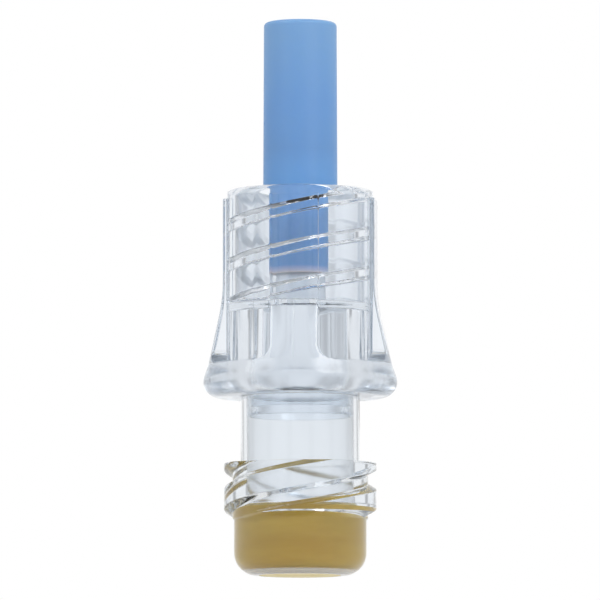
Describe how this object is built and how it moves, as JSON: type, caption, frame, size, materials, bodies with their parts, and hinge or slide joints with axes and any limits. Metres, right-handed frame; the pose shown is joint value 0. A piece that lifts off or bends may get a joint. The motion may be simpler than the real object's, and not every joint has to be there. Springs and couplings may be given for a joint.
{
  "type": "needle-free connector",
  "caption": "Needle-free injection site: slit rubber septum in a clear threaded cup, clear male luer lock with grip lands at the other end, and a blue pull-off tip protector over the luer cone.",
  "frame": {"origin": "centre of the flat septum end, on which the connector stands", "axes": "+Z along the axis from the septum end to the closed end of the tip protector; -Y is the side that faces the picture's camera"},
  "size_m": [0.0128, 0.0128, 0.0365],
  "materials": {
    "blue_protector": "soft satin moulded polyolefin, slightly milky",
    "clear_body": "clear polished moulding",
    "clear_housing": "clear polished moulding",
    "septum_rubber": "smooth tan rubber"
  },
  "bodies": {
    "connector": {"luer_lock_body": "clear_body", "septum_housing": "clear_housing", "septum": "septum_rubber"},
    "protector": {"tip_protector": "blue_protector"}
  },
  "joints": [
    {"name": "protector_pull", "type": "slide", "parent": "connector", "child": "protector", "axis": [0, 0, 1], "range_m": [0, 0.012]}
  ]
}
